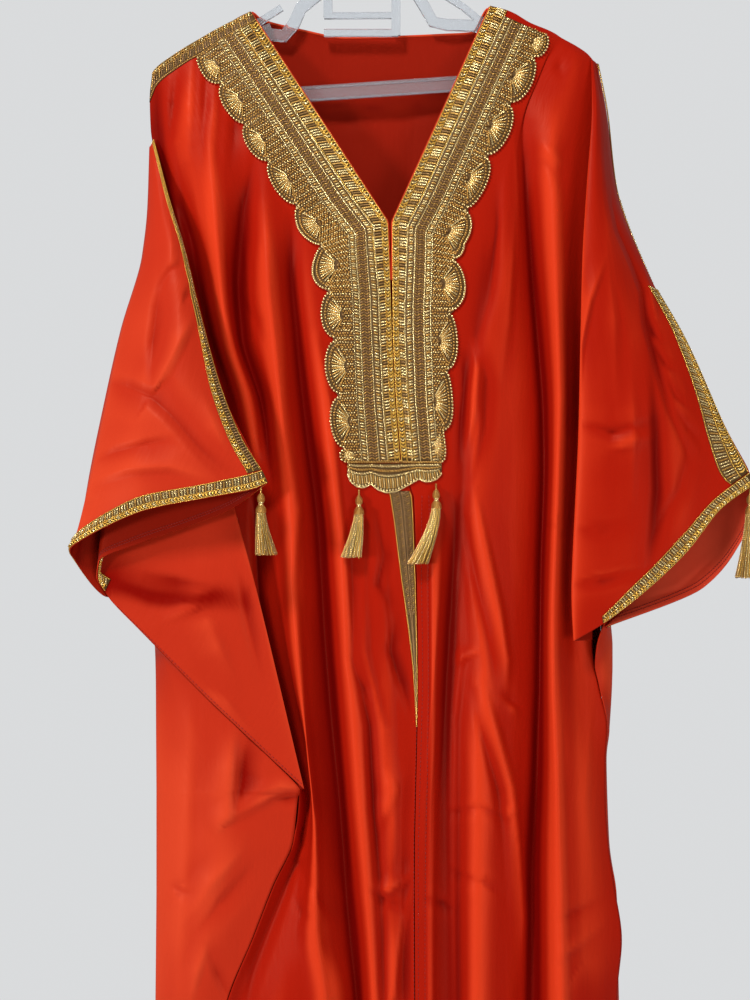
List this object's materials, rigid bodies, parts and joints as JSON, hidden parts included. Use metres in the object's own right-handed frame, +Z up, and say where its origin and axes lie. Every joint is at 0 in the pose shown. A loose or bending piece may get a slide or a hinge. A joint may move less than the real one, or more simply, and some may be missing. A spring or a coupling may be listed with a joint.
{
  "type": "jebba on a clear plastic hanger",
  "caption": "Long loose satin robe with wide sleeves, a V neck, a scalloped gold braid yoke, braided cuffs and tassels, hanging on a clear plastic hanger.",
  "frame": {"origin": "inner top of the hanger's hook, where the hanger rests on a rail", "axes": "+Z up, +Y away from the viewer, from the front of the garment to its back, +X towards the wearer's left"},
  "size_m": [0.6569, 0.1566, 1.5259],
  "materials": {
    "satin": "red satin with a soft sheen",
    "gold_braid": "metallic thread braid and cord",
    "clear_plastic": "clear moulded plastic, polished"
  },
  "bodies": {
    "root": {"back": "satin", "centre_braid": "gold_braid", "cuff_braid_left_back": "gold_braid", "cuff_braid_left_front": "gold_braid", "cuff_braid_right_back": "gold_braid", "cuff_braid_right_front": "gold_braid", "front_left": "satin", "front_right": "satin", "galon_left": "gold_braid", "galon_right": "gold_braid", "gore_left": "satin", "gore_right": "satin", "hanger": "clear_plastic", "shoulder_braid_left": "gold_braid", "shoulder_braid_right": "gold_braid", "sleeve_braid_left": "gold_braid", "sleeve_braid_left_upper": "gold_braid", "sleeve_braid_right": "gold_braid", "sleeve_left_back": "satin", "sleeve_left_front": "satin", "sleeve_right_back": "satin", "sleeve_right_front": "satin", "tassel_cuff_left": "gold_braid", "tassel_cuff_right": "gold_braid", "tassel_yoke_left": "gold_braid", "tassel_yoke_right": "gold_braid", "yoke_foot": "gold_braid", "yoke_left": "gold_braid", "yoke_right": "gold_braid"}
  },
  "joints": []
}
